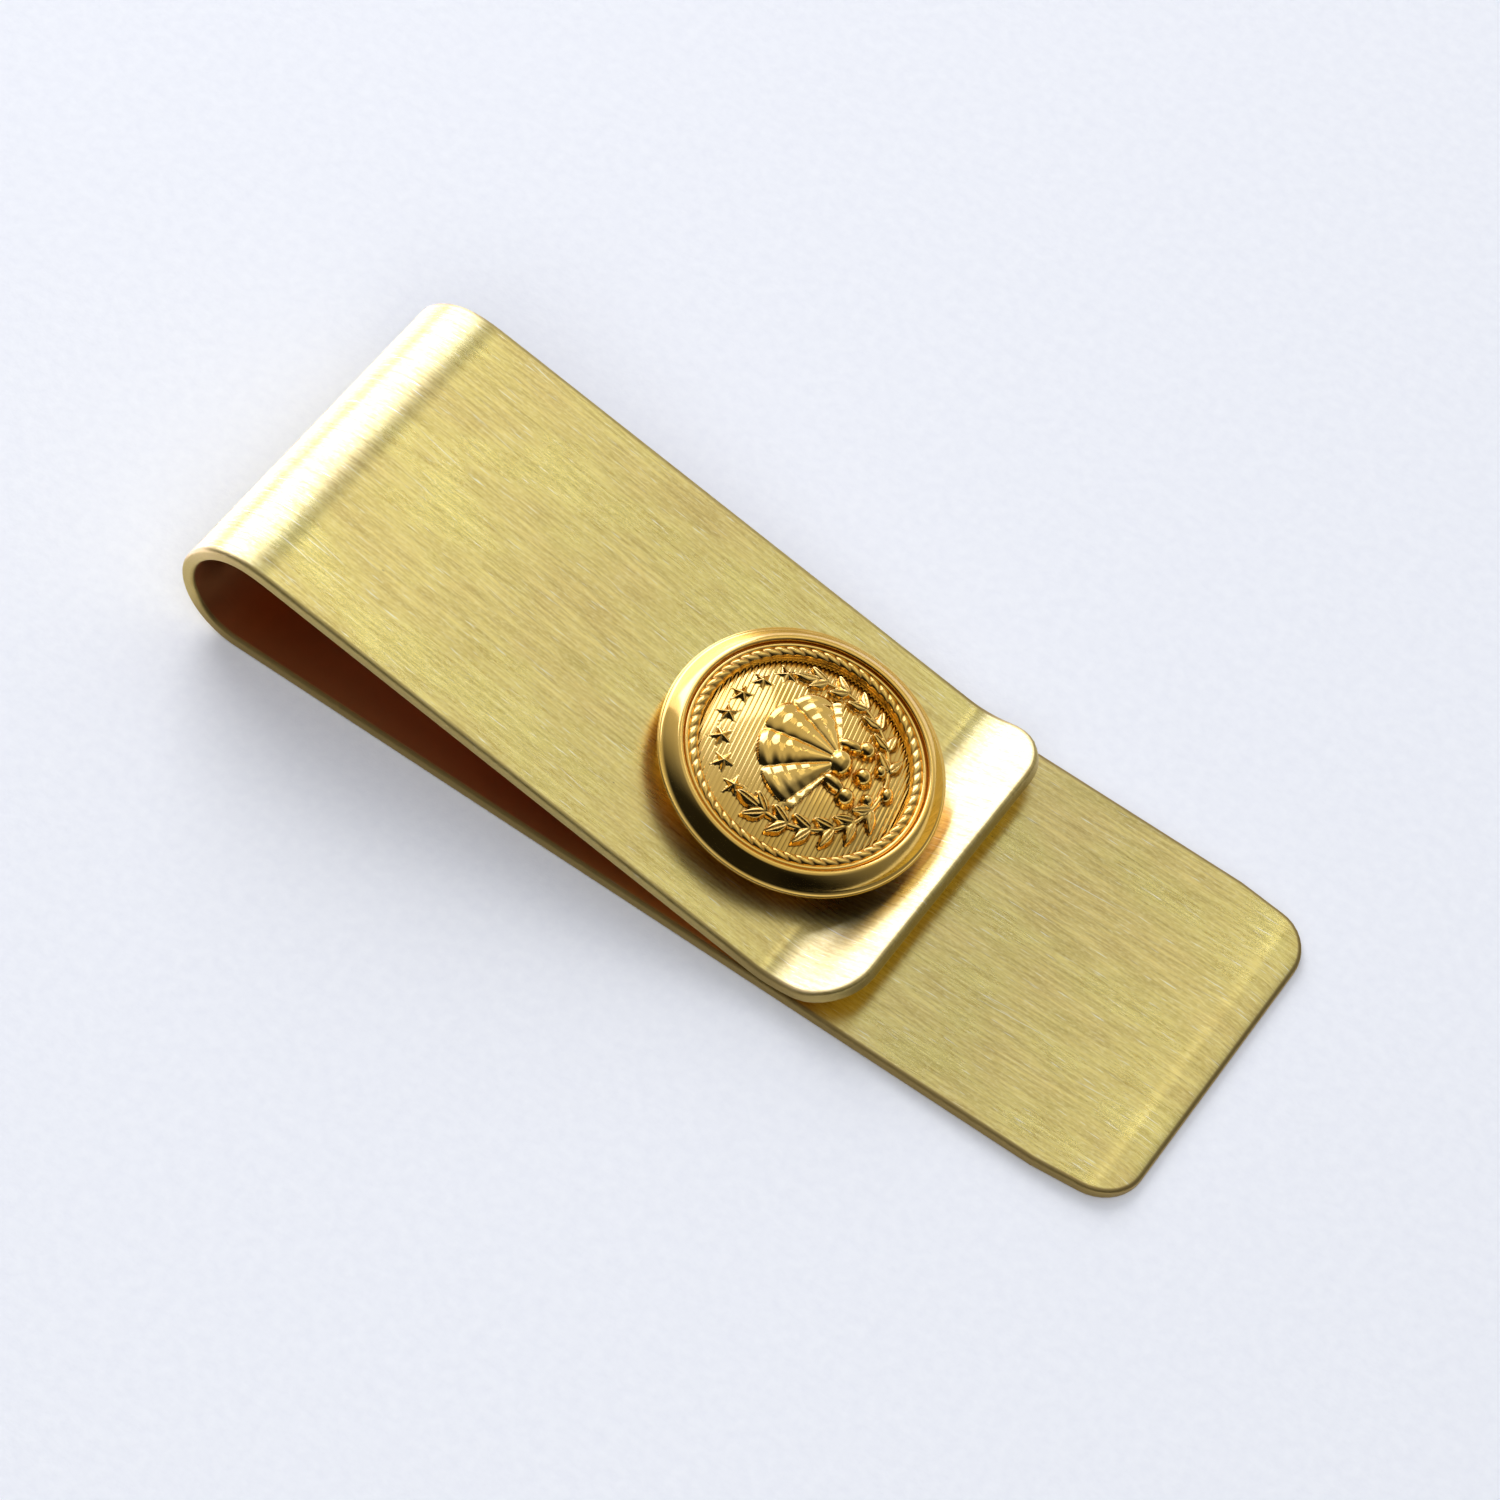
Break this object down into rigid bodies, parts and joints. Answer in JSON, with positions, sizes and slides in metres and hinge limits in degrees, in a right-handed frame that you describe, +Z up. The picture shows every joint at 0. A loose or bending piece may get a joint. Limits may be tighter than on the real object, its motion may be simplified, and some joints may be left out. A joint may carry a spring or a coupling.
{
  "type": "money clip",
  "caption": "Spring money clip: a folded brass strip with a round bow, a flat back leaf and a sloping front leaf with a turned-up lip, topped by a struck dress button.",
  "frame": {"origin": "middle of the underside of the back leaf, under the middle of the whole clip", "axes": "+X along the clip, from the bow to the free end of the back leaf; +Y across the strip; +Z up, from the back leaf to the button"},
  "size_m": [0.0705, 0.0254, 0.009],
  "materials": {
    "satin_brass": "satin, brushed along the length, lightly lacquered",
    "gilt": "bright gilt, struck in relief",
    "gilt_back": "plain gilt, slightly dull",
    "filler_board": "plain pressed board, hidden",
    "solder": "dull soft solder"
  },
  "bodies": {
    "back": {"back_leaf": "satin_brass", "spring_bow": "satin_brass"},
    "front": {"front_leaf": "satin_brass", "button_face": "gilt", "button_back": "gilt_back", "button_filler": "filler_board", "shank_stub": "gilt_back", "solder_bed": "solder"}
  },
  "joints": [
    {"name": "clip_open", "type": "hinge", "parent": "back", "child": "front", "pos_m": [-0.03318, 0, 0.0047], "axis": [0, -1, 0], "range_deg": [0, 8], "stiffness_Nm_per_rad": 6, "springref_deg": -1.72, "deforming": ["spring_bow"]}
  ]
}
